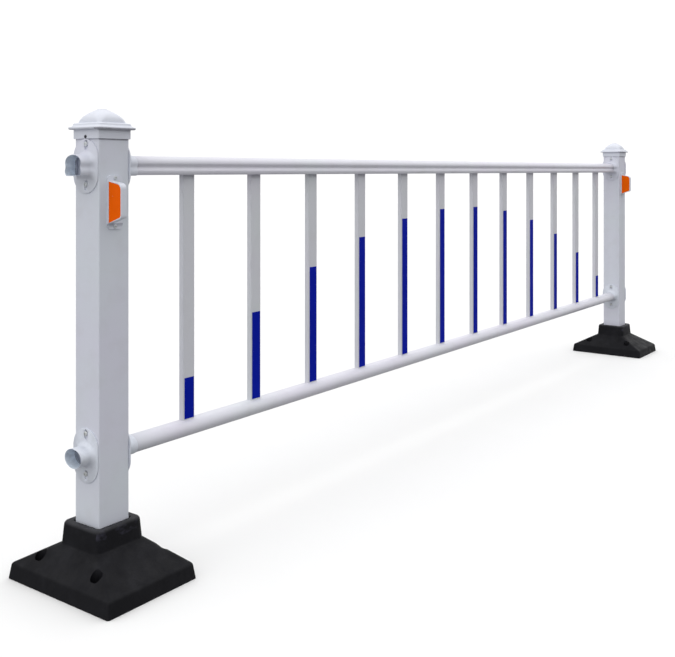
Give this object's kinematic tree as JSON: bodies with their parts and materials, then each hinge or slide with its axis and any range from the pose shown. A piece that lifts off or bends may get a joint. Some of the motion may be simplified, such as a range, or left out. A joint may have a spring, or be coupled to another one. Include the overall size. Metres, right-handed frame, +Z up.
{
  "type": "road guardrail barricade",
  "caption": "Free-standing road guardrail section: panel of rails and upright bars between square posts that stand in heavy bases, with reflectors and open cups for the next section.",
  "frame": {"origin": "on the ground, midway between the two bases", "axes": "+X along the fence from the left post to the right post, +Y away from the traffic side that carries the reflectors, +Z up"},
  "size_m": [3.318, 0.336, 1.02],
  "materials": {
    "post_white": "satin white powder coat",
    "rail_white": "satin white powder coat",
    "picket_white": "satin white powder coat",
    "cap_white": "satin white moulded plastic",
    "connector_white": "white powder coat over galvanised pressed steel",
    "connector_zinc": "bright zinc white over pressed steel, bare galvanised inside",
    "black_iron": "matte black paint on an iron casting",
    "reflective_blue": "retroreflective blue film",
    "reflective_orange": "retroreflective orange sheet",
    "reflector_white": "white moulded plastic",
    "screw_steel": "zinc plated steel"
  },
  "bodies": {
    "bases": {"left_base": "black_iron", "right_base": "black_iron"},
    "panel": {"left_post": "post_white", "left_cap": "cap_white", "left_cap_screw": "screw_steel", "left_reflector_body": "reflector_white", "left_reflector_sheets": "reflective_orange", "left_reflector_screws": "screw_steel", "right_post": "post_white", "right_cap": "cap_white", "right_cap_screw": "screw_steel", "right_reflector_body": "reflector_white", "right_reflector_sheets": "reflective_orange", "right_reflector_screws": "screw_steel", "top_rail": "rail_white", "bottom_rail": "rail_white", "picket_01": "picket_white", "picket_02": "picket_white", "picket_03": "picket_white", "picket_04": "picket_white", "picket_05": "picket_white", "picket_06": "picket_white", "picket_07": "picket_white", "picket_08": "picket_white", "picket_09": "picket_white", "picket_10": "picket_white", "picket_11": "picket_white", "picket_12": "picket_white", "blue_strip_01": "reflective_blue", "blue_strip_02": "reflective_blue", "blue_strip_03": "reflective_blue", "blue_strip_04": "reflective_blue", "blue_strip_05": "reflective_blue", "blue_strip_06": "reflective_blue", "blue_strip_07": "reflective_blue", "blue_strip_08": "reflective_blue", "blue_strip_09": "reflective_blue", "blue_strip_10": "reflective_blue", "blue_strip_11": "reflective_blue", "blue_strip_12": "reflective_blue", "left_outer_upper_connector": "connector_white", "left_inner_upper_connector": "connector_white", "right_outer_upper_connector": "connector_white", "right_inner_upper_connector": "connector_white", "left_outer_lower_connector": "connector_zinc", "left_inner_lower_connector": "connector_zinc", "right_outer_lower_connector": "connector_zinc", "right_inner_lower_connector": "connector_zinc", "left_outer_connector_screws": "screw_steel", "left_inner_connector_screws": "screw_steel", "right_outer_connector_screws": "screw_steel", "right_inner_connector_screws": "screw_steel", "rail_lock_screws": "screw_steel"}
  },
  "joints": [
    {"name": "panel_lift", "type": "slide", "parent": "bases", "child": "panel", "axis": [0, 0, 1], "range_m": [0, 0.12]}
  ]
}
